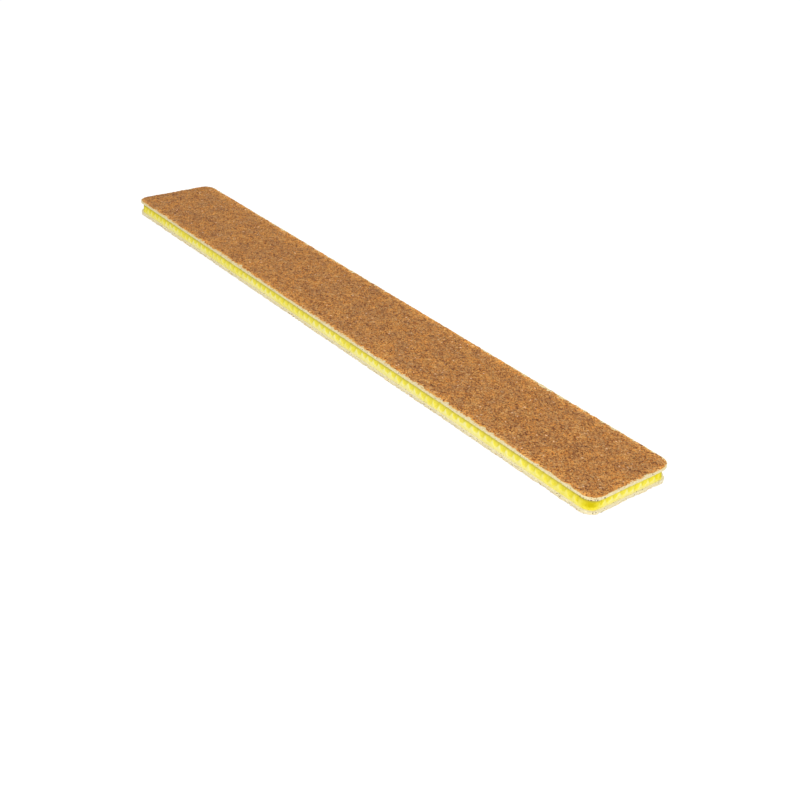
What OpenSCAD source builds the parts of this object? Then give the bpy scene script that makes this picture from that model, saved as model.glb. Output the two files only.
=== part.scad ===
// Emery board: a foam core between two papers coated with abrasive grain.
// X runs along the board, Y across it and Z up through its layers.
// The board lies flat, and the middle of its lower face is the origin.

/* [Board] */
// Length of the board
board_l = 178; // [100:1:220]
// Width of the board
board_w = 24; // [16:0.5:40]
// Radius of the four corners, seen from above
corner_r = 3; // [2:0.25:7]

/* [Foam core] */
// Thickness of the foam core
core_t = 2.6; // [1:0.1:6]
// How far the edge of the core lies inside the edge of the paper
core_setback = 0.5; // [0.1:0.05:1]
// Distance from one groove in the edge of the core to the next
groove_pitch = 2.1; // [1:0.1:4]
// Depth of the grooves in the edge of the core
groove_depth = 0.25; // [0.05:0.05:0.5]

/* [Abrasive papers] */
// Thickness of the backing paper
paper_t = 0.55; // [0.2:0.05:1]
// Thickness of the resin coat that holds the grain on the paper
resin_t = 0.08; // [0.04:0.01:0.2]
// Thickness of the grain that stands above the resin
grain_t = 0.15; // [0.08:0.01:0.4]
// How far the resin and the grain end inside the edge of the paper
coat_setback = 0.3; // [0.05:0.05:0.6]

/* [Glue films] */
// Thickness of the glue film between the core and each paper
glue_t = 0.07; // [0.03:0.01:0.2]
// How far the glue ends inside the bottoms of the grooves
glue_setback = 0.1; // [0.05:0.05:0.5]

/* [Hidden] */

// Height of the underside of each layer, from the lower face upwards
bottom_grain_z = 0;
bottom_resin_z = bottom_grain_z + grain_t;
bottom_paper_z = bottom_resin_z + resin_t;
bottom_glue_z = bottom_paper_z + paper_t;
core_z = bottom_glue_z + glue_t;
top_glue_z = core_z + core_t;
top_paper_z = top_glue_z + glue_t;
top_resin_z = top_paper_z + paper_t;
top_grain_z = top_resin_z + resin_t;

// The glue lies inside the deepest point of the grooves all round
glue_inset = core_setback + groove_depth + glue_setback;

// Outline of the core along the crests between its grooves
core_l = board_l - 2 * core_setback;
core_w = board_w - 2 * core_setback;
core_r = corner_r - core_setback;

// Points along one groove, and the angle from one point of a core corner to the next
groove_points = 6;
corner_step = 7.5;
// Sides of a rounded corner of a sheet, taken as a true arc
arc_sides = 64;

// Depth of the grooved edge at a share of the way from one crest to the next
function groove_at(share) = groove_depth * (1 - cos(360 * share)) / 2;

// Points along a straight edge of the core, at a distance out from the middle.
// The grooves are centred on the edge, and the corners close it at both ends.
function grooved_edge(run, out) =
    let (count = floor(run / groove_pitch))
    [
        for (groove = [0 : 1 : count - 1], point = [0 : 1 : groove_points - 1])
            if (groove > 0 || point > 0)
                [
                    (groove + point / groove_points - count / 2) * groove_pitch,
                    out - groove_at(point / groove_points)
                ]
    ];

// Points round the corner at the right-hand end of an edge
function rounded_corner(run, out) =
    [
        for (angle = [90 : -corner_step : 0])
            [run / 2 + core_r * cos(angle), out - core_r + core_r * sin(angle)]
    ];

// One side of the core with the corner that follows it, turned into place
function core_side(length, across, turn) =
    let (run = length - 2 * core_r, out = across / 2)
    [
        for (p = concat(grooved_edge(run, out), rounded_corner(run, out)))
            [p.x * cos(turn) - p.y * sin(turn), p.x * sin(turn) + p.y * cos(turn)]
    ];

core_outline = concat(
    core_side(core_l, core_w, 0),
    core_side(core_w, core_l, -90),
    core_side(core_l, core_w, -180),
    core_side(core_w, core_l, -270)
);

// A flat layer with the outline of the board, drawn in all round by inset
module sheet(inset, z, t) {
    l = board_l - 2 * inset;
    w = board_w - 2 * inset;
    r = corner_r - inset;
    translate([0, 0, z])
        linear_extrude(t) {
            square([l - 2 * r, w], center = true);
            square([l, w - 2 * r], center = true);
            for (x = [-1, 1], y = [-1, 1])
                translate([x * (l / 2 - r), y * (w / 2 - r)])
                    circle(r, $fn = arc_sides);
        }
}

module grain_coat(z) {
    color([0.70, 0.49, 0.29])
        sheet(coat_setback, z, grain_t);
}

module resin_coat(z) {
    color([0.50, 0.31, 0.16])
        sheet(coat_setback, z, resin_t);
}

module backing_paper(z) {
    color([0.92, 0.86, 0.67])
        sheet(0, z, paper_t);
}

module glue_film(z) {
    color([0.93, 0.89, 0.62])
        sheet(glue_inset, z, glue_t);
}

module foam_core() {
    color([0.94, 0.89, 0.35])
        translate([0, 0, core_z])
            linear_extrude(core_t)
                polygon(core_outline);
}

grain_coat(top_grain_z);  // top_grain_coat
resin_coat(top_resin_z);  // top_resin_coat
backing_paper(top_paper_z);  // top_backing_paper
glue_film(top_glue_z);  // top_glue_film
foam_core();
glue_film(bottom_glue_z);  // bottom_glue_film
backing_paper(bottom_paper_z);  // bottom_backing_paper
resin_coat(bottom_resin_z);  // bottom_resin_coat
grain_coat(bottom_grain_z);  // bottom_grain_coat
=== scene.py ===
"""Emery board: fine shapes, materials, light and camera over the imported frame."""

import itertools
import math

import bpy
import numpy as np
from mathutils import Matrix, Vector


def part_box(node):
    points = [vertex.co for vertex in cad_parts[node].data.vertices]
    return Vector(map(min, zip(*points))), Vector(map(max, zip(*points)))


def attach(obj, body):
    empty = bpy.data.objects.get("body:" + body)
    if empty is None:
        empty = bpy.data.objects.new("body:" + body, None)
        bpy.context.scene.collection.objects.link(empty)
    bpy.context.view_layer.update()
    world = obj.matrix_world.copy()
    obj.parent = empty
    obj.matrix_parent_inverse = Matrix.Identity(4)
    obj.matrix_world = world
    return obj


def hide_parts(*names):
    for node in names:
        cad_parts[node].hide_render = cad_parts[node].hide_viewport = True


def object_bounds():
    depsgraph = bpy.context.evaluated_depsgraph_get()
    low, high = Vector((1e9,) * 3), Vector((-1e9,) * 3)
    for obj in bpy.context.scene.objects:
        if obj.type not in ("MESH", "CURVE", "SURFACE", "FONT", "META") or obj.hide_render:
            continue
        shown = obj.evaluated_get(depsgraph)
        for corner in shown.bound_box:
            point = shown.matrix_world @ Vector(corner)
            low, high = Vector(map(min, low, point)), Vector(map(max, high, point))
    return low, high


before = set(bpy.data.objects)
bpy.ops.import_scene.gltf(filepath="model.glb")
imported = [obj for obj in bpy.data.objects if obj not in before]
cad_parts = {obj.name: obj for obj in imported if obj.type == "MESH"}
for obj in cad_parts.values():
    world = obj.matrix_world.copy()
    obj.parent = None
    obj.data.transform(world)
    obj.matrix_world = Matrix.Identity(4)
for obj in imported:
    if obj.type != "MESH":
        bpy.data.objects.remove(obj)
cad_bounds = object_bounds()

MM = 0.001

# Sizes that the boxes of the nodes don't give, as in the part's source, in millimetres
CORNER_R = 3.0
GROOVE_PITCH = 2.1

# Camera: a 52 mm lens, close to the near end and a little rolled
LENS_MM = 51.893
SENSOR_MM = 36.0
CAMERA_PLACE = Vector((198.09, -159.88, 127.21)) * MM
CAMERA_AIM = Vector((40.53, -19.52, 4.3)) * MM
CAMERA_ROLL = math.radians(5.122)
CAMERA_NEAR, CAMERA_FAR = 0.01, 20.0


def make_camera():
    """The camera, aimed at a point on the upper face and rolled about its view."""
    data = bpy.data.cameras.new("camera")
    data.lens = LENS_MM
    data.sensor_width = SENSOR_MM
    data.clip_start = CAMERA_NEAR
    data.clip_end = CAMERA_FAR
    cam = bpy.data.objects.new("camera", data)
    bpy.context.collection.objects.link(cam)
    turn = (CAMERA_AIM - CAMERA_PLACE).to_track_quat("-Z", "Y").to_matrix()
    turn = turn @ Matrix.Rotation(CAMERA_ROLL, 3, "Z")
    cam.matrix_world = Matrix.Translation(CAMERA_PLACE) @ turn.to_4x4()
    bpy.context.scene.camera = cam


make_camera()


# Numbers. All shapes are worked out in millimetres

def node_box(name):
    """Lowest and highest corner of a node, in millimetres."""
    low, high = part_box(name)
    return np.array(low) / MM, np.array(high) / MM


def setback_of(node):
    """How far a node's outline lies inside the outline of the board."""
    return node_box("top_backing_paper")[1][0] - node_box(node)[1][0]


def faces_of(side, layer):
    """Heights of a layer's face towards the core and of its face away from it."""
    low, high = node_box(side + "_" + layer)
    return (low[2], high[2]) if side == "top" else (high[2], low[2])


def smooth(t):
    """Eases from 0 to 1 as t does, and stays there outside."""
    t = np.clip(t, 0, 1)
    return t * t * (3 - 2 * t)


def at_least(low, share):
    """Runs from a least value up to 1 as a share runs from 0 to 1."""
    return low + (1 - low) * share


HASH_PRIMES = np.array([73856093, 19349663, 83492791])
HASH_SIZE = 4096


def noise(points, cell, seed):
    """Smooth noise from -1 to 1 at 2-D or 3-D points, over cells of this size."""
    table = np.random.default_rng(seed).uniform(-1, 1, HASH_SIZE)
    scaled = np.asarray(points) / cell
    whole = np.floor(scaled).astype(np.int64)
    part = smooth(scaled - whole)
    total = np.zeros(scaled.shape[:-1])
    for corner in itertools.product((0, 1), repeat=scaled.shape[-1]):
        key = (whole + np.array(corner)) * HASH_PRIMES[:scaled.shape[-1]]
        key = np.bitwise_xor.reduce(key, axis=-1) % HASH_SIZE
        weight = np.prod(np.where(np.array(corner) == 1, part, 1 - part), axis=-1)
        total += table[key] * weight
    return total


def share_noise(points, cell, seed):
    """The same noise from 0 to 1."""
    return 0.5 + 0.5 * noise(points, cell, seed)


def outline(length, width, radius, step):
    """Points round a rounded rectangle, anticlockwise from its +X +Y corner.

    Returns places, outward directions and the distance along each straight side from
    its middle, which is nan on the corners.
    """
    places, normals, along = [], [], []
    corners = [(1, 1), (-1, 1), (-1, -1), (1, -1)]
    for k, (sx, sy) in enumerate(corners):
        centre = np.array([sx * (length / 2 - radius), sy * (width / 2 - radius)])
        count = max(2, round(radius * math.pi / 2 / step))
        angles = math.pi / 2 * (k + np.arange(count) / count)
        n = np.stack([np.cos(angles), np.sin(angles)], 1)
        places.append(centre + radius * n)
        normals.append(n)
        along.append(np.full(count, np.nan))
        run, reach = (length, width) if k % 2 == 0 else (width, length)
        run -= 2 * radius
        count = round(run / step)
        t = run * (np.arange(count) / count - 0.5)
        angle = math.pi / 2 * (k + 1)
        n = np.array([math.cos(angle), math.sin(angle)])
        way = np.array([-n[1], n[0]])
        places.append(n * reach / 2 + way * t[:, None])
        normals.append(np.repeat(n[None], count, 0))
        along.append(t)
    return np.concatenate(places), np.concatenate(normals), np.concatenate(along)


def to_edge(x, y, length, width, radius):
    """Distance in from a rounded rectangle's outline, and the way out to it."""
    q = np.stack([np.abs(x) - length / 2 + radius, np.abs(y) - width / 2 + radius], -1)
    sign = np.where(np.stack([x, y], -1) < 0, -1.0, 1.0)
    reach = np.maximum(np.linalg.norm(np.maximum(q, 0), axis=-1), 1e-9)
    in_corner = (q > 0).all(-1)
    depth = radius - np.where(in_corner, reach, q.max(-1))
    flat = (q == q.max(-1, keepdims=True)).astype(float)
    way = np.where(in_corner[..., None], np.maximum(q, 0) / reach[..., None], flat)
    return depth, way * sign


# Wear along the cut edges. Each side of the board has its own chips and tears, and the
# paper, the resin and the grain of one side all give way at the same places. The lower
# paper is the ragged one, where the cutting rule broke through.

# How far each paper's cut side is torn in and its rim is dragged up, in millimetres,
# how much its cream is painted paler as painted light, and where its random numbers start
FRAY = {"top": 0.18, "bottom": 0.40}
BURR = {"top": 0.21, "bottom": 0.225}
PAINTED_LIGHT = {"top": 0.0, "bottom": 0.3}
SEED = {"top": 22590, "bottom": 3009}

# Each pattern of wear takes its random numbers at its own place after the side's seed
CHIP, CHIP_RIM, DRIFT = 0, 1, 2
FIBRE, FRAY_WAVE, TEAR = 3, 4, 5
BURR_FINE, BURR_WAVE, LIFT = 6, 7, 8
CRUMB, CRUMB_WAVE = 9, 10
GRAIN, BARE_FINE, CLUMP, BARE_PATCH = 40, 41, 43, 44

# The wear is less beside the corners: its least share there, how far that reaches, and
# over which distance it then grows
CORNER_WEAR = 0.45
CORNER_CALM, CORNER_FADE = 3.0, 8.0


def along_sides(points):
    """A share that drops beside the corners, where the cut drags off less of the coat."""
    half = node_box("top_backing_paper")[1][:2]
    from_corner = np.linalg.norm(half - np.abs(points), axis=-1)
    grown = smooth((from_corner - CORNER_CALM) / CORNER_FADE)
    return at_least(CORNER_WEAR, grown)


# The deepest chip, and how much of it is up to its ragged rim
CHIP_REACH, CHIP_RAGGED = 0.75, 0.4
CHIP_CELL, CHIP_RIM_CELL = 1.3, 0.3
# The coat chips where the noise is above this. The power makes the chips blunt
CHIP_START, CHIP_BLUNT = 0.42, 0.8


def chips(points, side):
    """How far in from the edge the coat has broken off, in millimetres."""
    chip = np.clip(noise(points, CHIP_CELL, SEED[side] + CHIP) - CHIP_START, 0, None)
    chip = (chip / (1 - CHIP_START)) ** CHIP_BLUNT
    rim = noise(points, CHIP_RIM_CELL, SEED[side] + CHIP_RIM)
    ragged = 1 - CHIP_RAGGED + CHIP_RAGGED * rim
    return CHIP_REACH * chip * ragged * along_sides(points)


# The stretches where the coat is dragged off, and the noise from which they grow
DRIFT_CELL = 19.0
DRIFT_START, DRIFT_SPAN = 0.25, 0.6


def drifting(points, side):
    """How much of the coat's edge the cut dragged off here, from 0 to 1."""
    drift = share_noise(points, DRIFT_CELL, SEED[side] + DRIFT) - DRIFT_START
    return np.clip(drift / DRIFT_SPAN, 0, 1) * along_sides(points)


# From the glue to the coat the tears change as they do along this length
TEAR_CLIMB = 1.2
FIBRE_CELL, FRAY_CELL, TEAR_CELL = 0.28, 1.1, 0.5
# What fibres, waves and tears add to the fray, and the noise from which it tears
FIBRE_SHARE, WAVE_SHARE, TEAR_SHARE, TEAR_START = 0.30, 0.25, 2.0, 0.15
# The least share of it, where nothing is dragged off and at the glued face
FRAY_LEAST = 0.4


def frayed(points, h, side):
    """How far the cut side of a paper is torn in, at a share h of the way to its coat."""
    at = np.concatenate([points, np.full(points.shape[:-1] + (1,), h * TEAR_CLIMB)], -1)
    fine = share_noise(at, FIBRE_CELL, SEED[side] + FIBRE)
    broad = share_noise(at, FRAY_CELL, SEED[side] + FRAY_WAVE)
    torn = np.clip(noise(at, TEAR_CELL, SEED[side] + TEAR) - TEAR_START, 0, None)
    depth = FIBRE_SHARE * fine + WAVE_SHARE * broad + TEAR_SHARE * torn
    fray = FRAY[side] * at_least(FRAY_LEAST, drifting(points, side))
    return fray * at_least(FRAY_LEAST, h) * depth


# How far in the coat's edge drifts, crumbles in small bites and waves, and how far out
# all of that starts
DRIFT_REACH = 0.44
CRUMB_REACH, CRUMB_CELL = 0.95, 0.36
CRUMB_WAVE_REACH, CRUMB_WAVE_CELL = 0.40, 1.3
CRUMB_OUT = 0.40
# How sharp the bites are and the noise they start from, and the least share of them,
# in a shallow stretch and where nothing is dragged off
CRUMB_GAIN, CRUMB_START = 1.6, 0.3
CRUMB_SHALLOW, CRUMB_CALM = 0.25, 0.6
# The coat stays this far inside the torn rim of its paper
LIP_COVER = 0.02


def margin(points, side):
    """How far in from the edge of the paper the resin ends, in millimetres."""
    drift = drifting(points, side)
    fine = share_noise(points, CRUMB_CELL, SEED[side] + CRUMB)
    broad = share_noise(points, CRUMB_WAVE_CELL, SEED[side] + CRUMB_WAVE)
    bites = CRUMB_REACH * smooth(CRUMB_GAIN * fine - CRUMB_START)
    bites = bites * at_least(CRUMB_SHALLOW, broad)
    ragged = bites + CRUMB_WAVE_REACH * broad - CRUMB_OUT
    loose = DRIFT_REACH * drift + ragged * at_least(CRUMB_CALM, drift) + chips(points, side)
    return np.maximum(loose, frayed(points, 1.0, side) + LIP_COVER)


# The resin shows this far at least, further by a fine rim, and most in patches
BARE_LEAST, BARE_RIM, BARE_PATCHES = 0.02, 0.10, 0.38
BARE_RIM_CELL, BARE_PATCH_CELL = 0.4, 1.7
# How sharp the patches are, and what the noise has to reach for them
BARE_GAIN, BARE_START = 3.2, 1.9


def bared(points, side):
    """How much further in the grain ends, where only the resin is left, in millimetres."""
    fine = share_noise(points, BARE_RIM_CELL, SEED[side] + BARE_FINE)
    patch = share_noise(points, BARE_PATCH_CELL, SEED[side] + BARE_PATCH)
    patch = smooth(BARE_GAIN * patch - BARE_START)
    return BARE_LEAST + BARE_RIM * fine + BARE_PATCHES * patch


# Meshes

def add_piece(name, verts, faces, node=None, smooth_angle=None):
    """A mesh piece from places in millimetres."""
    mesh = bpy.data.meshes.new(name)
    mesh.from_pydata((verts * MM).tolist(), [], faces)
    mesh.update()
    if smooth_angle is not None:
        mesh.polygons.foreach_set("use_smooth", [True] * len(mesh.polygons))
        mesh.set_sharp_from_angle(angle=math.radians(smooth_angle))
    piece = bpy.data.objects.new(name, mesh)
    bpy.context.collection.objects.link(piece)
    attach(piece, "root")
    if node:
        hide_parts(node)
    return piece


def ring_at(places, normals, inset, height):
    """An outline moved in and set at a height. Both may differ from place to place."""
    flat = places - normals * np.broadcast_to(inset, len(places))[:, None]
    return np.column_stack([flat, np.broadcast_to(height, len(places))])


def stacked(name, rings, node, smooth_angle):
    """A closed solid from rings of places that climb, capped at both ends."""
    count, levels = len(rings[0]), len(rings)
    k = np.arange(count)
    after = (k + 1) % count
    faces = []
    for r in range(levels - 1):
        low, high = r * count, (r + 1) * count
        faces += np.stack([low + k, low + after, high + after, high + k], 1).tolist()
    faces.append(k[::-1].tolist())
    faces.append(((levels - 1) * count + k).tolist())
    piece = add_piece(name, np.concatenate(rings), faces, node, smooth_angle)
    map_stack(piece, rings)
    return piece


# The map for baking has this many strips, a band for the caps and clear margins
BAKE_STRIPS = 4
CAP_BAND = 0.12
END_MARGIN, STRIP_MARGIN = 0.01, 0.05


def map_stack(piece, rings):
    """A map for baking: the sides unrolled into strips, with the caps in a band above."""
    count, levels = len(rings[0]), len(rings)
    k = np.arange(count)
    gaps = [np.linalg.norm(b - a, axis=1).mean() for a, b in zip(rings, rings[1:])]
    climb = np.concatenate([[0], np.cumsum(gaps)]) / sum(gaps)
    per_strip = math.ceil(count / BAKE_STRIPS)
    strip = k // per_strip
    left = (k - strip * per_strip) / per_strip
    u = np.stack([left, left + 1 / per_strip], 1)
    u = END_MARGIN + (1 - 2 * END_MARGIN) * u
    strip_height = (1 - CAP_BAND) / BAKE_STRIPS
    inside = STRIP_MARGIN + (1 - 2 * STRIP_MARGIN) * climb
    places = []
    for r in range(levels - 1):
        v = strip_height * (strip[:, None] + inside[[r, r + 1]])
        places.append(np.stack([u[:, 0], v[:, 0], u[:, 1], v[:, 0],
                                u[:, 1], v[:, 1], u[:, 0], v[:, 1]], 1))
    verts = np.concatenate(rings)
    size = np.ptp(verts, axis=0)
    for half, order in enumerate((k[::-1], (levels - 1) * count + k)):
        flat = verts[order][:, :2] / size[:2] + 0.5
        inside = STRIP_MARGIN + (0.5 - 2 * STRIP_MARGIN) * flat[:, 1]
        flat[:, 1] = 1 - CAP_BAND * (0.5 * half + inside)
        places.append(flat)
    layer = piece.data.uv_layers.new(name="OFBake")
    layer.data.foreach_set("uv", np.concatenate([p.ravel() for p in places]))


# Foam core. A cutting rule with teeth came down through it: each tooth scooped the foam
# away at the top, in an arch that closes lower down, and the foam swells out below.

# The step is in millimetres, here and below. Edges that bend by less than the SMOOTH
# angle, in degrees, are shaded smooth
CORE_STEP = 0.13
CORE_LEVELS = 19
CORE_SMOOTH = 75
# Shares of the height at which a scoop starts and is at its full depth. The start
# wanders, and lies lower in some stretches
SCOOP_FOOT, SCOOP_FULL = 0.14, 0.66
FOOT_WANDER, FOOT_CELL = 0.06, 0.6
FOOT_LOWER, LOW_CELL = 0.10, 7.0
# Depth of a scoop and how much it varies, in millimetres and as a share. Half its width
# and its lean are shares of the pitch
SCOOP_DEPTH, DEPTH_VARIES = 0.36, 0.25
SCOOP_HALF_WIDTH, SCOOP_LEAN = 0.58, 0.10
# Powers of its rise by which it widens and deepens, and the most that it rises
WIDENING, DEEPENING, RISE_MOST = 0.55, 0.8, 1.1
# The whole edge draws in over this stretch of the height, by so much at the top
DRAW_FROM, DRAW_SPAN, TOP_DRAW = 0.55, 0.45, 0.10
LUMP, LUMP_CELL = 0.07, 0.8
FINE_LUMP, FINE_LUMP_CELL = 0.045, 0.3
# How far the corners sink in, at which share of the height that is full, and how far
# from them it and the painted shade beside them reach
CORNER_SINK, SINK_FULL = 0.16, 0.3
CORNER_SPREAD = 2.2
CORNER_SHADE_SPREAD = 12.0
# The core's lowest ring swells down past its own face, and closes just outside the glue
FOOT_DROP = 0.065
FOOT_INSET = 0.03
GROOVE_SEED, LUMP_SEED, FINE_LUMP_SEED, FOOT_SEED = 11, 12, 13, 14
DULL_SEED, LOW_SCOOP_SEED = 326, 6895
GROOVE_DRAWS = 512
# Places on the corners are taken to lie this far along their side, beyond its grooves
NO_GROOVE = -1e6


def core_grooves(size, radius, normals, along):
    """How each place of the core's outline lies among its grooves.

    Returns its phase in grooves, the number of the nearest one, a share that dies out
    beside the corners, and how that groove's depth, foot and lean vary, from -1 to 1.
    """
    runs = np.where(np.abs(normals[:, 1]) > 0.9, size[0], size[1]) - 2 * radius
    count = np.floor(runs / GROOVE_PITCH)
    phase = np.nan_to_num(along, nan=NO_GROOVE) / GROOVE_PITCH + count / 2
    ends = smooth(phase * 2 + 0.5) * smooth((count - phase) * 2 + 0.5)
    groove = np.round(phase).astype(int)
    rng = np.random.default_rng(GROOVE_SEED)
    draws = rng.uniform(-1, 1, (3, GROOVE_DRAWS))
    return phase, groove, ends, draws[:, groove % GROOVE_DRAWS]


def scooped(h, at, grooves):
    """How much of a scoop each place is in, how high in it, and how far it is cut in."""
    phase, groove, ends, (strength, foot, lean) = grooves
    start = SCOOP_FOOT + FOOT_WANDER * foot + FOOT_WANDER * noise(at, FOOT_CELL, FOOT_SEED)
    start -= FOOT_LOWER * smooth(noise(at[:, :2], LOW_CELL, LOW_SCOOP_SEED) * 2 - 0.6)
    rise = np.clip((h - start) / (SCOOP_FULL - SCOOP_FOOT), 0, RISE_MOST)
    half_width = SCOOP_HALF_WIDTH * rise ** WIDENING + 1e-6
    off = np.abs(phase + SCOOP_LEAN * lean * (1 - h) - groove)
    scoop = np.clip(1 - (off / half_width) ** 2, 0, 1) * ends
    deep = SCOOP_DEPTH * (1 + DEPTH_VARIES * strength) * rise ** DEEPENING
    return scoop, rise, scoop * deep


# The dark arch of a scoop: how much of the scoop and of its rise its edge takes up
ARCH_EDGE, ARCH_FOOT = 0.6, 0.4
# The pale swell ends over this span of the height. In dull stretches and at the foot at
# least these shares of it are left
SWELL_TOP, SWELL_FADE = 0.50, 0.30
SWELL_DULL, SWELL_FOOT = 0.65, 0.92
DULL_CELL = 5.0
# Share of the swell that the painted shade beside the corners takes away, and what it and a
# corner take off beside
CORNER_SHADE_SWELL, CORNER_SHADE_ALL, CORNER_DARK = 0.16, 0.14, 0.85
# Share of the height over which the foot ends
FOOT_SPAN = 0.35


def paleness_and_shade(h, at, scoop, rise, corner, corner_shade):
    """How pale each place of the foam is: most where it swells out below the scoops, and less
    where shade is painted beside the corners.
    """
    arch = smooth(scoop / ARCH_EDGE) * smooth(rise / ARCH_FOOT)
    bright = smooth(2 * share_noise(at[:, :2], DULL_CELL, DULL_SEED) - 0.3)
    pale = (1 - arch) * (1 - smooth((h - SWELL_TOP) / SWELL_FADE))
    pale *= at_least(SWELL_DULL, bright)
    pale *= at_least(SWELL_FOOT, smooth((h - 0.05) / FOOT_SPAN))
    pale *= (1 - corner) * (1 - CORNER_SHADE_SWELL * corner_shade)
    return pale - CORNER_DARK * corner * smooth(h / FOOT_SPAN) - CORNER_SHADE_ALL * corner_shade


def make_core():
    """The foam core, with how pale each place of its edge is as an attribute, painted shade
    beside the corners included.
    """
    low, high = node_box("foam_core")
    size = high - low
    setback = setback_of("foam_core")
    radius = CORNER_R - setback
    places, normals, along = outline(size[0], size[1], radius, CORE_STEP)
    grooves = core_grooves(size, radius, normals, along)
    middles = size[:2] / 2 - radius * (1 - math.sqrt(0.5))
    from_corner = np.linalg.norm(np.abs(places) - middles, axis=1)
    corner = np.exp(-(from_corner / CORNER_SPREAD) ** 2)
    # Painted shade: the foam is darker beside the corners
    corner_shade = np.exp(-(from_corner / CORNER_SHADE_SPREAD) ** 2)

    rings, swells_and_shade = [], []
    for level in range(CORE_LEVELS):
        h = level / (CORE_LEVELS - 1)
        at = np.column_stack([places, np.full(len(places), h * size[2])])
        scoop, rise, cut = scooped(h, at, grooves)
        draw = TOP_DRAW * smooth((h - DRAW_FROM) / DRAW_SPAN)
        lumps = LUMP * share_noise(at, LUMP_CELL, LUMP_SEED)
        lumps = lumps + FINE_LUMP * share_noise(at, FINE_LUMP_CELL, FINE_LUMP_SEED)
        sunk = CORNER_SINK * corner * smooth(h / SINK_FULL)
        inset = cut + draw + lumps + sunk + FOOT_INSET * (level == 0)
        rings.append(ring_at(places, normals, inset, low[2] + at[:, 2]))
        swells_and_shade.append(paleness_and_shade(h, at, scoop, rise, corner, corner_shade))

    rings[0][:, 2] -= FOOT_DROP
    inside = setback_of("top_glue_film") - setback - FOOT_INSET
    rings.insert(0, ring_at(places, normals, inside, low[2]))
    swells_and_shade.insert(0, swells_and_shade[0])
    core = stacked("foam_core_edge", rings, "foam_core", CORE_SMOOTH)
    swell_and_shade = core.data.attributes.new("swell_and_shade", "FLOAT", "POINT")
    swell_and_shade.data.foreach_set("value", np.concatenate(swells_and_shade))
    return core


# Papers. The cut side is a ring of torn fibres, and its outer rim is dragged up or down
# beside the coat

PAPER_STEP = 0.13
PAPER_SMOOTH = 50
CUT_LEVELS = 6
# At both ends of the board the glued side of the paper bulges towards the core by this
PAPER_SAG = 0.10
# How far in the paper's shaped rim ends on both faces, and its next ring on the glued
# one. The first ring of the cut side is tucked in by this
RIM_REACH, GLUED_INSET, CUT_TUCK = 1.4, 0.45, 0.015
# The burr rises with a fine and a broad noise, from this value of them and over this
# span. Where nothing is dragged off, this share of it is left
BURR_FINE_CELL, BURR_WAVE_CELL, BURR_FINE_SHARE = 0.27, 1.2, 0.6
BURR_START, BURR_SPAN, BURR_LEAST = 0.3, 0.42, 0.35
# Shares of the burr's height at the lip and at its foot, and how far in its crest and
# its foot lie
LIP_SHARE, FOOT_SHARE = 0.75, 0.3
CREST_INSET = 0.07
FOOT_PAST_LIP, FOOT_LEAST = 0.13, 0.17
# Under a chip the paper lifts by this share of the burr, fully from this depth of chip
CHIP_LIFT, CHIP_LIFT_FULL = 0.35, 0.25
LIFT_CELL, LIFT_RAGGED = 0.3, 0.4
# How far in the lifted paper and its end lie, and where it is flat again
LIFT_INSET, LIFT_END, FLAT_FROM = 0.32, 0.50, 0.80
# Depth of chip at which it is lifted fully, and from and over which its end lifts too,
# by this share
LIFT_FULL = 0.4
END_LIFT_FROM, END_LIFT_SPAN, END_LIFT = 0.25, 0.3, 0.6


def make_paper(side):
    """A backing paper, from its face at the core out and round to its coated face."""
    node = side + "_backing_paper"
    low, high = node_box(node)
    length, width, thick = high - low
    up = 1 if side == "top" else -1
    glued, _ = faces_of(side, "backing_paper")
    places, normals, _ = outline(length, width, CORNER_R, PAPER_STEP)
    chipped = chips(places, side)

    def ring(inset, height):
        return ring_at(places, normals, inset, glued + up * height)

    rings = [ring(RIM_REACH, 0), ring(GLUED_INSET, 0)]
    for level in range(CUT_LEVELS):
        h = level / (CUT_LEVELS - 1)
        sag = PAPER_SAG * np.abs(normals[:, 0]) * (1 - h) ** 2
        inset = frayed(places, h, side) + (CUT_TUCK if level == 0 else 0)
        rings.append(ring(inset, h * thick - sag))

    fine = share_noise(places, BURR_FINE_CELL, SEED[side] + BURR_FINE)
    wave = share_noise(places, BURR_WAVE_CELL, SEED[side] + BURR_WAVE)
    rise = BURR_FINE_SHARE * fine + (1 - BURR_FINE_SHARE) * wave
    burr = BURR[side] * smooth((rise - BURR_START) / BURR_SPAN)
    burr = burr * at_least(BURR_LEAST, drifting(places, side))
    chip_lift = CHIP_LIFT * BURR[side] * smooth(chipped / CHIP_LIFT_FULL)
    lip = frayed(places, 1.0, side)
    rings[-1] = ring(lip, thick + LIP_SHARE * burr)
    rings.append(ring(lip + CREST_INSET, thick + burr))
    foot = np.maximum(lip + FOOT_PAST_LIP, FOOT_LEAST)
    rings.append(ring(foot, thick + FOOT_SHARE * burr + chip_lift))
    ragged = LIFT_RAGGED * noise(places, LIFT_CELL, SEED[side] + LIFT)
    lift = chip_lift * (1 - LIFT_RAGGED + ragged)
    rings.append(ring(LIFT_INSET, thick + lift * smooth(chipped / LIFT_FULL)))
    deep = smooth((chipped - END_LIFT_FROM) / END_LIFT_SPAN)
    rings.append(ring(LIFT_END, thick + END_LIFT * lift * deep))
    rings.append(ring(FLAT_FROM, thick))
    rings.append(ring(RIM_REACH, thick))
    if side == "bottom":
        rings = rings[::-1]
    return stacked(side + "_paper_sheet", rings, node, PAPER_SMOOTH)


# Resin coats. The resin runs a little further out than the grain, as an amber line

RESIN_SMOOTH = 60
RESIN_REACH = 1.6
# Its edge slopes: how far in from the edge, and at which share of its thickness
RESIN_SLOPE = [(0.0, 0.0), (0.015, 0.4), (0.10, 0.85), (0.22, 1.0)]


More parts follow.
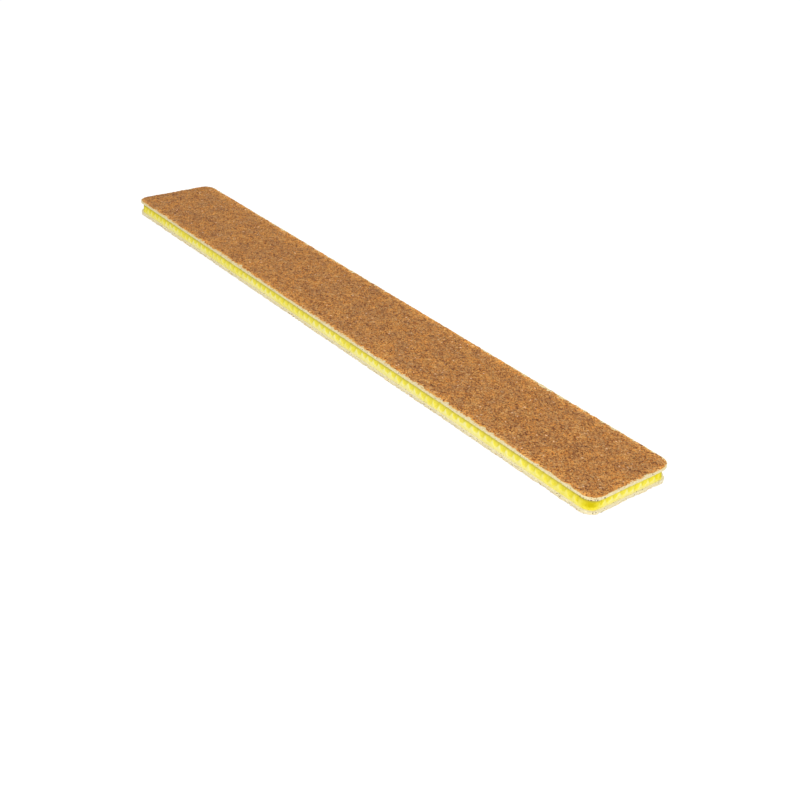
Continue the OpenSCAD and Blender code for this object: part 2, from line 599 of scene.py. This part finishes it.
def make_resin(side):
    """A coat of resin, up to the ragged margin of its paper."""
    length, width = (node_box("top_backing_paper")[1] * 2)[:2]
    base, top = faces_of(side, "resin_coat")
    places, normals, _ = outline(length, width, CORNER_R, PAPER_STEP)
    edge = margin(places, side)
    rings = [ring_at(places, normals, RESIN_REACH, base)]
    for past, share in RESIN_SLOPE:
        rings.append(ring_at(places, normals, edge + past, base + share * (top - base)))
    rings.append(ring_at(places, normals, RESIN_REACH, top))
    if side == "bottom":
        rings = rings[::-1]
    return stacked(side + "_resin_layer", rings, side + "_resin_coat", RESIN_SMOOTH)


# Grain coats. A jittered net of points carries the grains as crags of random height

GRAIN_STEP = 0.214
# The points are moved by up to this share of a step, over this span in from the rim
GRAIN_JITTER = 0.33
JITTER_FROM, JITTER_SPAN = 0.05, 0.2
# The margin draws the net in by this much at most, and less and less from the rim
MARGIN_MOST = 1.3
MARGIN_FADE = 1.5
# Shares of the coat's thickness: its ground, what a crag and a clump of them add to it,
# and the least that is left. The beta law says how high crags are
GRAIN_LOW, GRAIN_CRAG, GRAIN_CLUMP, GRAIN_LEAST = 0.30, 0.45, 0.25, 0.15
CRAG_LAW = (2.2, 2.0)
CLUMP_CELL = 0.8
# The crags are lower by this share at the rim
RIM_DROP, RIM_WIDTH = 0.40, 0.2


def grain_net(side, rng, length, width):
    """A net of places over the face, drawn in to the ragged margin, and their depths."""
    columns = round(length / GRAIN_STEP) + 1
    rows = round(width / GRAIN_STEP) + 1
    x = np.linspace(-length / 2, length / 2, columns)[:, None]
    past = np.clip(np.abs(x) - (length / 2 - CORNER_R), 0, CORNER_R)
    half = width / 2 - CORNER_R + np.sqrt(CORNER_R ** 2 - past ** 2)
    x = np.broadcast_to(x, (columns, rows))
    y = half * np.linspace(-1, 1, rows)[None, :]
    depth, way = to_edge(x, y, length, width, CORNER_R)
    loose = smooth((depth - JITTER_FROM) / JITTER_SPAN)
    nudge = GRAIN_STEP * GRAIN_JITTER * loose[..., None]
    flat = np.stack([x, y], -1) + nudge * rng.uniform(-1, 1, (columns, rows, 2))
    rim = flat + way * depth[..., None]
    depth = np.clip(depth, 0, None)
    broken = np.minimum(margin(rim, side) + bared(rim, side), MARGIN_MOST)
    flat = flat - way * (broken * np.exp(-depth / MARGIN_FADE))[..., None]
    return flat, depth


def make_grain(side):
    """A coat of grain: the net of crags, a skirt round it and a flat underside."""
    length, width = (node_box("top_backing_paper")[1] * 2)[:2]
    ground, crest = faces_of(side, "grain_coat")
    rng = np.random.default_rng(SEED[side] + GRAIN)
    flat, depth = grain_net(side, rng, length, width)
    columns, rows = depth.shape

    crag = rng.beta(*CRAG_LAW, (columns, rows))
    clump = share_noise(flat, CLUMP_CELL, SEED[side] + CLUMP)
    height = GRAIN_LOW + GRAIN_CRAG * crag + GRAIN_CLUMP * clump
    height *= 1 - RIM_DROP * np.exp(-depth / RIM_WIDTH)
    height = ground + np.clip(height, GRAIN_LEAST, 1.0) * (crest - ground)
    top = np.concatenate([flat, height[..., None]], -1).reshape(-1, 3)

    # Each square of the net is split one way or the other
    number = np.arange(columns * rows).reshape(columns, rows)
    a, b = number[:-1, :-1], number[1:, :-1]
    c, d = number[1:, 1:], number[:-1, 1:]
    way_one = np.stack([a, b, c, a, c, d], -1)
    way_two = np.stack([a, b, d, b, c, d], -1)
    pick = rng.random((columns - 1, rows - 1, 1)) < 0.5
    tops = np.where(pick, way_one, way_two).reshape(-1, 3)

    # The skirt hangs from the loop of places round the net, down to the ground
    loop = np.concatenate([number[:-1, 0], number[-1, :-1], number[:0:-1, -1], number[0, :0:-1]])
    foot = top[loop].copy()
    foot[:, 2] = ground
    under = len(top) + np.arange(len(loop))
    after = np.roll(np.arange(len(loop)), -1)
    skirt = np.stack([under, under[after], loop[after], loop], 1)
    faces = tops.tolist() + skirt.tolist() + [under[::-1].tolist()]
    if side == "bottom":
        faces = [f[::-1] for f in faces]
    verts = np.concatenate([top, foot])
    name, node = side + "_grain_layer", side + "_grain_coat"
    piece = add_piece(name, verts, faces, node)
    map_grain(piece, length, width)
    return piece


# The map for baking has strips of this height, and the underside in a band above them
GRAIN_STRIPS = 3
GRAIN_STRIP = 0.32
GRAIN_STRIP_MARGIN = 0.02
UNDER_TOP, UNDER_BAND = 0.99, 0.025


def map_grain(piece, length, width):
    """A map for baking: the face in strips laid over each other, at one scale."""
    mesh = piece.data
    starts = np.empty(len(mesh.polygons), np.int32)
    totals = np.empty(len(mesh.polygons), np.int32)
    mesh.polygons.foreach_get("loop_start", starts)
    mesh.polygons.foreach_get("loop_total", totals)
    corner = np.empty(len(mesh.loops), np.int32)
    mesh.loops.foreach_get("vertex_index", corner)
    verts = np.empty(len(mesh.vertices) * 3, np.float32)
    mesh.vertices.foreach_get("co", verts)
    at = verts.reshape(-1, 3)[corner] / MM
    face = np.repeat(np.arange(len(starts)), totals)
    middle = np.bincount(face, at[:, 0]) / totals
    run = length / GRAIN_STRIPS
    strip = np.clip(np.floor((middle + length / 2) / run), 0, GRAIN_STRIPS - 1)[face]
    u = (at[:, 0] + length / 2 - strip * run) / run
    u = END_MARGIN + (1 - 2 * END_MARGIN) * u
    across = at[:, 1] / width + 0.5
    inside = GRAIN_STRIP_MARGIN + (1 - 2 * GRAIN_STRIP_MARGIN) * across
    v = GRAIN_STRIP * (strip + inside)
    underside = totals[face] > 4
    u = np.where(underside, at[:, 0] / length + 0.5, u)
    v = np.where(underside, UNDER_TOP - UNDER_BAND * across, v)
    layer = mesh.uv_layers.new(name="OFBake")
    layer.data.foreach_set("uv", np.stack([u, v], 1).astype(np.float32).ravel())


# Grit. Grains that the cut tore loose and left stuck in the edges of the papers

GRIT_SEED = 77
GRIT_STEP = 0.2
GRIT_COUNT = 170
GRIT_SMALL, GRIT_LARGE = 0.06, 0.19
# Share of the grains that sit in the lower paper
GRIT_BELOW = 0.55
# The first grains are large and lie in the so many places next to the near corner. The
# first of those lie low on the upper paper, from and to these shares of its height
GRIT_AT_CORNER, GRIT_CORNER_PLACES = 24, 34
GRIT_CORNER_SIZE = (0.8, 1.5)
GRIT_AT_RIM = 17
GRIT_RIM_BAND = (-0.04, 0.27)
# How deep they are stuck in, and how far they may stand out of the paper. They stay
# this far inside the outline of the board
GRIT_SUNK = 0.04
GRIT_PROUD = 0.05
GRIT_COVER = 0.008

# A grain has eight sides and six corners, each pulled in, at most to this share
GRIT_PULL = 0.55
GRIT_CORNERS = [[1, 0, 0], [0, 1, 0], [-1, 0, 0], [0, -1, 0], [0, 0, 1], [0, 0, -1]]
GRIT_SIDES = [(i, (i + 1) % 4, 4) for i in range(4)] + [((i + 1) % 4, i, 5) for i in range(4)]


def make_grit():
    """Small crags, each an eight-sided grain with its corners pulled about."""
    rng = np.random.default_rng(GRIT_SEED)
    _, top = node_box("top_backing_paper")
    length, width = top[:2] * 2
    places, normals, _ = outline(length, width, CORNER_R, GRIT_STEP)
    corner_first = np.argsort(np.linalg.norm(places - [length / 2, -width / 2], axis=1))
    verts, faces = [], []
    for grain in range(GRIT_COUNT):
        k = rng.integers(len(places))
        size = GRIT_SMALL + (GRIT_LARGE - GRIT_SMALL) * rng.random() ** 2
        if grain < GRIT_AT_CORNER:
            k = corner_first[rng.integers(GRIT_CORNER_PLACES)]
            size = GRIT_LARGE * rng.uniform(*GRIT_CORNER_SIZE)
        at_rim = grain < GRIT_AT_RIM
        side = "bottom" if not at_rim and rng.random() < GRIT_BELOW else "top"
        h = rng.uniform(*GRIT_RIM_BAND) if at_rim else rng.random()
        glued, coated = faces_of(side, "backing_paper")
        z = np.clip(glued + h * (coated - glued), size, cad_bounds[1][2] / MM - size)
        face = frayed(places[k], np.clip(h, 0, 1), side)

        turn = np.linalg.qr(rng.normal(size=(3, 3)))[0]
        turn *= np.sign(np.linalg.det(turn))
        pulled = np.array(GRIT_CORNERS) * rng.uniform(GRIT_PULL, 1.0, (6, 1))
        shape = (pulled * size) @ turn.T
        # The grain is cut flat where it would stand out too far
        reach = shape[:, :2] @ normals[k]
        out = reach - face - rng.uniform(0, GRIT_SUNK)
        out = np.minimum(out, min(GRIT_PROUD - face, -GRIT_COVER))
        shape[:, :2] += (out - reach)[:, None] * normals[k]
        shape += np.append(places[k], z)
        verts.append(shape)
        faces += [[grain * len(GRIT_CORNERS) + i for i in facet_bump_and_shade] for facet_bump_and_shade in GRIT_SIDES]
    return add_piece("edge_grit", np.concatenate(verts), faces)


# Materials. Sizes in them are in millimetres on the object

class Nodes:
    """The nodes of one material or of the world."""

    def __init__(self, owner):
        owner.use_nodes = True
        self.owner = owner
        self.nodes = owner.node_tree.nodes
        self.links = owner.node_tree.links

    def add(self, kind, inputs=None, **settings):
        node = self.nodes.new("ShaderNode" + kind)
        for key, value in settings.items():
            setattr(node, key, value)
        for key, value in (inputs or {}).items():
            self.put(node.inputs[key], value)
        return node

    def put(self, socket, value):
        if isinstance(value, bpy.types.NodeSocket):
            self.links.new(value, socket)
        else:
            socket.default_value = value

    def calc(self, operation, a, b=0.0, c=0.0):
        return self.add("Math", {0: a, 1: b, 2: c}, operation=operation).outputs[0]


class Paint(Nodes):
    """One material of the object, painted by place on it."""

    def __init__(self, name):
        super().__init__(bpy.data.materials.new(name))
        self.shader = self.nodes["Principled BSDF"]
        self.place = self.vector("SCALE", self.add("TexCoord").outputs["Object"], 1 / MM)

    def vector(self, operation, a, b=(0.0, 0.0, 0.0)):
        """Vector maths. SCALE takes a number as b."""
        inputs = {0: a, "Scale" if operation == "SCALE" else 1: b}
        return self.add("VectorMath", inputs, operation=operation).outputs[0]

    def axis(self, number):
        """The place along X, Y or Z, which are 0, 1 and 2."""
        return self.add("SeparateXYZ", {0: self.place}).outputs[number]

    def noise(self, cell, detail=2.0, stretch=None, roughness=0.5):
        """Noise from 0 to 1 over cells of this size."""
        at = self.vector("MULTIPLY", self.place, stretch) if stretch else self.place
        inputs = {"Vector": at, "Scale": 1 / cell, "Detail": detail, "Roughness": roughness}
        return self.add("TexNoise", inputs).outputs["Fac"]

    def cells(self, cell, **settings):
        """Voronoi cells of this size. Color is a random colour for each."""
        return self.add("TexVoronoi", {"Vector": self.place, "Scale": 1 / cell}, **settings)

    def random(self, cells):
        """Three random numbers from 0 to 1 for each cell."""
        return self.add("SeparateColor", {0: cells.outputs["Color"]}).outputs

    def span(self, value, low, high, to_low=0.0, to_high=1.0):
        """Maps low to high onto to_low to to_high, and clamps."""
        inputs = {"Value": value, "From Min": low, "From Max": high}
        inputs |= {"To Min": to_low, "To Max": to_high}
        return self.add("MapRange", inputs).outputs["Result"]

    def ramp(self, value, stops):
        """Colours from one stop to the next. Each stop is a value and its colour."""
        node = self.add("ValToRGB", {"Fac": value})
        elements = node.color_ramp.elements
        while len(elements) < len(stops):
            elements.new(0.5)
        for element, (place, colour) in zip(elements, stops):
            element.position = place
            element.color = (*colour, 1)
        return node.outputs["Color"]

    def mix(self, factor, a, b, blend_type="MIX"):
        a, b = [v if isinstance(v, bpy.types.NodeSocket) else (*v, 1) for v in (a, b)]
        inputs = {0: factor, 6: a, 7: b}
        return self.add("Mix", inputs, data_type="RGBA", blend_type=blend_type).outputs[2]

    def tint(self, colour, by, factor=1.0):
        """A colour multiplied by another, in full or in part."""
        return self.mix(factor, colour, by, "MULTIPLY")

    def bump(self, height, distance, normal=None):
        inputs = {"Height": height, "Distance": distance * MM}
        if normal:
            inputs["Normal"] = normal
        return self.add("Bump", inputs).outputs["Normal"]

    def finish(self, colour, roughness, normal, specular=0.5):
        self.put(self.shader.inputs["Base Color"], colour)
        self.put(self.shader.inputs["Roughness"], roughness)
        self.put(self.shader.inputs["Normal"], normal)
        self.shader.inputs["Specular IOR Level"].default_value = specular
        return self.owner


GRAIN_CELL = 0.26
GLINT_CELL = 0.31
# The grains' outlines are bent by this much, over bends of this size
BEND, BEND_CELL = 0.5, 0.5
# How much of a grain's tone is its own, and how much is its clump's
OWN_TONE, CLUMP_TONE, TONE_SHIFT = 0.45, 0.59, 0.012
# One grain in about 180 is painted pale, as a painted glint
GLINT_FROM, GLINT_FULL = 0.992, 0.997
# A grain's face is turned each way by up to half of this, as a share of its upright
GRAIN_TURN = 0.9
# The coat is painted palest, as a painted highlight, up to the one distance from the sides,
# and plain from the other on. The ends count as this much further off
RIM_HIGHLIGHT_FROM, RIM_HIGHLIGHT_TO, END_LESS = 0.3, 2.0, 0.9


def grain_material(length, width):
    """Brown abrasive: dark, orange and tan grains, with painted shade, painted glints and a
    painted highlight along the rim.
    """
    t = Paint("grain")
    wander = t.add("TexNoise", {"Vector": t.place, "Scale": 1 / BEND_CELL, "Detail": 2.0})
    t.place = t.vector("ADD", t.place, t.vector("SCALE", wander.outputs["Color"], BEND))
    grains = t.cells(GRAIN_CELL)
    tone, _, hue = t.random(grains)[:3]
    clump = t.noise(1.25, detail=3.0, roughness=0.62)
    value = t.calc("MULTIPLY_ADD", tone, OWN_TONE, t.calc("MULTIPLY", clump, CLUMP_TONE))
    colour = t.ramp(t.calc("SUBTRACT", value, TONE_SHIFT), [
        (0.14, (0.105, 0.038, 0.024)),
        (0.28, (0.310, 0.106, 0.028)),
        (0.46, (0.616, 0.258, 0.068)),
        (0.64, (0.800, 0.372, 0.102)),
        (0.80, (0.925, 0.495, 0.165)),
        (0.90, (0.980, 0.715, 0.480)),
    ])
    patch = t.span(t.noise(3.0), 0.36, 0.64)
    colour = t.tint(colour, t.mix(patch, (0.86, 0.88, 1.00), (1.08, 1.06, 0.94)))
    colour = t.tint(colour, t.mix(hue, (1.06, 0.87, 0.58), (0.94, 1.13, 1.42)))

    # Dark resin and painted shade between the grains, and painted shade on their facets
    gap = t.cells(GRAIN_CELL, feature="DISTANCE_TO_EDGE").outputs["Distance"]
    colour = t.mix(t.span(gap, 0.0, 0.10, 0.35, 0.0), colour, (0.16, 0.05, 0.015))
    facet_bump_and_shade = t.noise(0.13)
    colour = t.mix(t.span(facet_bump_and_shade, 0.35, 0.65), colour, t.tint(colour, (0.80, 0.78, 0.78)))
    # Painted glints: a few pale grains stand in for glints of light
    painted_glint = t.span(t.random(t.cells(GLINT_CELL))[1], GLINT_FROM, GLINT_FULL)
    colour = t.mix(painted_glint, colour, (1.00, 0.62, 0.36))

    # Painted highlight: paler along the rim
    from_end = t.calc("SUBTRACT", length / 2, t.calc("ABSOLUTE", t.axis(0)))
    from_side = t.calc("SUBTRACT", width / 2, t.calc("ABSOLUTE", t.axis(1)))
    from_rim = t.calc("MINIMUM", t.calc("ADD", from_end, END_LESS), from_side)
    colour = t.tint(colour, (1.42, 1.46, 1.36), t.span(from_rim, RIM_HIGHLIGHT_FROM, RIM_HIGHLIGHT_TO, 1.0, 0.0))

    # Each grain lies with its face turned its own way
    turn = t.vector("SUBTRACT", grains.outputs["Color"], (0.5, 0.5, 0.5))
    upright = t.add("NewGeometry").outputs["Normal"]
    turned = t.vector("ADD", upright, t.vector("SCALE", turn, GRAIN_TURN))
    domes = t.calc("MINIMUM", t.calc("MULTIPLY", gap, 3.0), 0.6)
    normal = t.bump(t.calc("ADD", domes, facet_bump_and_shade), 0.06, t.vector("NORMALIZE", turned))
    return t.finish(colour, t.span(hue, 0.0, 1.0, 0.5, 0.9), normal, specular=0.16)


def resin_material():
    """Amber binder, its tone wandering in patches."""
    t = Paint("resin")
    colour = t.mix(t.noise(0.8, detail=3.0), (0.62, 0.27, 0.035), (0.86, 0.50, 0.12))
    rough = t.span(t.noise(0.4), 0.3, 0.7, 0.35, 0.6)
    return t.finish(colour, rough, t.bump(t.noise(0.25), 0.03), specular=0.3)


PAPER_SPECKS = 0.02
PAPER_BLOTS = 0.5
# Resin starts to soak the paper at this share of its thickness, just short of its
# coated face, and soaks it fully at the other, up in the burr
SOAK_FROM, SOAK_FULL = 0.95, 1.25


def paper_material(side):
    """Cream paper cut across: short fibres, dark specks, and resin near its coated face."""
    t = Paint(side + "_paper")
    fibre = t.noise(0.4, detail=4.0, stretch=(1.0, 1.0, 1.8), roughness=0.65)
    tone = t.ramp(fibre, [
        (0.25, (0.61, 0.48, 0.24)),
        (0.42, (0.79, 0.67, 0.37)),
        (0.56, (0.88, 0.775, 0.47)),
        (0.74, (0.94, 0.885, 0.65)),
    ])
    # Painted light: the lower paper is painted paler, against the shade it gets beside the floor
    tone = t.mix(PAINTED_LIGHT[side], tone, (0.88, 0.82, 0.59))

    # Greyish beside the glue, and soaked with resin beside the coat
    glued, coated = faces_of(side, "backing_paper")
    last = coated + (SOAK_FULL - 1) * (coated - glued)
    through = t.span(t.axis(2), glued, last, 0.0, SOAK_FULL)
    tone = t.mix(t.span(through, 0.0, 0.12, 0.4, 0.0), tone, (0.78, 0.77, 0.74))
    patchy = t.span(t.noise(0.6, detail=3.0), 0.42, 0.60, 0.25, 1.0)
    soaked = t.calc("MULTIPLY", t.span(through, SOAK_FROM, SOAK_FULL), patchy)
    tone = t.mix(soaked, tone, (0.74, 0.42, 0.11))

    blot = t.span(t.noise(1.1, detail=3.0), 0.62, 0.78, 0.0, PAPER_BLOTS)
    tone = t.mix(blot, tone, (0.72, 0.42, 0.15))
    pick = t.random(t.cells(0.16))[0]
    speck = t.span(pick, 1 - PAPER_SPECKS, 1 - PAPER_SPECKS * 0.6)
    tone = t.mix(speck, tone, (0.16, 0.08, 0.04))
    return t.finish(tone, 0.85, t.bump(fibre, 0.06), specular=0.2)


# The foam is shaded from this share of its height upwards. A band of painted shade under
# the rim of the upper paper starts at the one distance below its upper face, and is full at the
# other
SHADE_FROM = 0.58
UNDER_RIM_SHADE_FROM, UNDER_RIM_SHADE_FULL = 0.98, 0.55


def foam_material():
    """Fine-celled foam: pale where it swells out, deep yellow in the scoops."""
    t = Paint("foam")
    low, high = [corner[2] for corner in node_box("foam_core")]
    swell_and_shade = t.add("Attribute", attribute_name="swell_and_shade").outputs["Fac"]
    lump = t.noise(0.45, detail=3.0)
    pale = t.calc("MULTIPLY_ADD", t.calc("SUBTRACT", lump, 0.5), 0.8, swell_and_shade)
    tone = t.ramp(t.span(pale, -0.9, 1.1), [
        (0.00, (0.620, 0.510, 0.001)),
        (0.30, (0.850, 0.728, 0.036)),
        (0.52, (0.925, 0.825, 0.120)),
        (0.78, (0.965, 0.890, 0.265)),
        (1.00, (0.985, 0.930, 0.460)),
    ])
    z = t.axis(2)
    wave = t.calc("ADD", z, t.span(t.noise(0.9), 0.0, 1.0, -0.3, 0.3))
    shade = t.span(wave, low + SHADE_FROM * (high - low), high, 0.0, 0.88)
    tone = t.mix(shade, tone, (0.680, 0.575, 0.075))

    # Painted shade: a patchy darker band under the rim of the upper paper
    patchy = t.span(t.noise(0.6, detail=3.0), 0.38, 0.62, 0.10, 0.62)
    under_rim_shade = t.calc("MULTIPLY", t.span(z, high - UNDER_RIM_SHADE_FROM, high - UNDER_RIM_SHADE_FULL), patchy)
    tone = t.mix(under_rim_shade, tone, (0.42, 0.35, 0.10))

    pore = t.span(t.cells(0.11).outputs["Distance"], 0.0, 0.6)
    tone = t.mix(t.calc("MULTIPLY", pore, 0.10), tone, (0.80, 0.66, 0.03))
    height = t.calc("SUBTRACT", lump, t.calc("MULTIPLY", pore, 0.35))
    return t.finish(tone, 0.9, t.bump(height, 0.07), specular=0.1)


def glue_material():
    """Clear yellowish film, a little cloudy."""
    t = Paint("glue")
    colour = t.mix(t.noise(2.5, detail=3.0), (0.78, 0.70, 0.30), (0.86, 0.82, 0.45))
    rough = t.span(t.noise(1.0), 0.3, 0.7, 0.3, 0.5)
    return t.finish(colour, rough, t.bump(t.noise(0.6), 0.02))


def grit_material():
    """Loose grains: mostly near black, some brown or amber."""
    t = Paint("grit")
    island = t.add("NewGeometry").outputs["Random Per Island"]
    colour = t.ramp(island, [
        (0.00, (0.025, 0.015, 0.012)),
        (0.65, (0.060, 0.030, 0.018)),
        (0.80, (0.250, 0.110, 0.040)),
        (1.00, (0.600, 0.300, 0.090)),
    ])
    colour = t.mix(t.span(t.noise(0.08), 0.3, 0.7, 0.0, 0.4), colour, (0.12, 0.06, 0.04))
    return t.finish(colour, 0.5, t.bump(t.noise(0.06), 0.02))


def dress(piece, material):
    """Gives a piece its material, in every slot that it has."""
    if not piece.material_slots:
        piece.data.materials.append(material)
    for place in piece.material_slots:
        place.material = material


core = make_core()
dress(core, foam_material())

_, (half_length, half_width, _) = node_box("top_backing_paper")
grain = grain_material(half_length * 2, half_width * 2)
resin = resin_material()
glue = glue_material()
for side in ("top", "bottom"):
    dress(make_paper(side), paper_material(side))
    dress(make_resin(side), resin)
    dress(make_grain(side), grain)
    dress(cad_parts[side + "_glue_film"], glue)
dress(make_grit(), grit_material())


# Floor and light, in metres and watts

FLOOR_SIZE = 6.0
# The floor lights the object as pale grey. Seen by the camera, in a reflection or
# through something, it is darker and glows, so that it comes out white but keeps the
# object's shadow
FLOOR_COLOUR = (0.8, 0.8, 0.8, 1)
SEEN_COLOUR, SEEN_GLOW = (0.5, 0.5, 0.5, 1), 0.66
WORLD_LIGHT, WORLD_SEEN = 0.70, 1.0
WHITE = (1, 1, 1, 1)
KEY_PLACE, KEY_AIM = Vector((0.42, -0.31, 0.39)), Vector((0.06, 0, 0))
KEY_SIZE, KEY_POWER = 0.35, 1.95


def make_floor():
    bpy.ops.mesh.primitive_plane_add(size=FLOOR_SIZE, location=(0, 0, 0))
    floor = bpy.context.active_object
    floor.name = "floor"
    t = Nodes(bpy.data.materials.new("floor"))
    t.nodes.clear()
    path = t.add("LightPath").outputs
    seen = t.calc("MAXIMUM", path["Is Camera Ray"], path["Is Glossy Ray"])
    seen = t.calc("MAXIMUM", seen, path["Is Transmission Ray"])
    plain = t.add("BsdfDiffuse", {"Color": FLOOR_COLOUR})
    shown = t.add("BsdfDiffuse", {"Color": SEEN_COLOUR})
    glow = t.add("Emission", {"Strength": SEEN_GLOW})
    both = t.add("AddShader", {0: shown.outputs[0], 1: glow.outputs[0]})
    mixed = t.add("MixShader", {0: seen, 1: plain.outputs[0], 2: both.outputs[0]})
    t.add("OutputMaterial", {"Surface": mixed.outputs[0]})
    floor.data.materials.append(t.owner)


def make_world():
    world = bpy.data.worlds.new("world")
    bpy.context.scene.world = world
    t = Nodes(world)
    t.nodes.clear()
    light = t.add("Background", {"Color": WHITE, "Strength": WORLD_LIGHT})
    shown = t.add("Background", {"Color": WHITE, "Strength": WORLD_SEEN})
    seen = t.add("LightPath").outputs["Is Camera Ray"]
    mixed = t.add("MixShader", {0: seen, 1: light.outputs[0], 2: shown.outputs[0]})
    t.add("OutputWorld", {"Surface": mixed.outputs[0]})


def make_lamp(name, place, aim, size, power):
    data = bpy.data.lights.new(name, "AREA")
    data.shape = "DISK"
    data.size = size
    data.energy = power
    lamp = bpy.data.objects.new(name, data)
    bpy.context.collection.objects.link(lamp)
    lamp.location = place
    lamp.rotation_euler = (aim - place).to_track_quat("-Z", "Y").to_euler()


make_floor()
make_world()
make_lamp("key", KEY_PLACE, KEY_AIM, KEY_SIZE, KEY_POWER)

bpy.context.scene.view_settings.view_transform = "Standard"
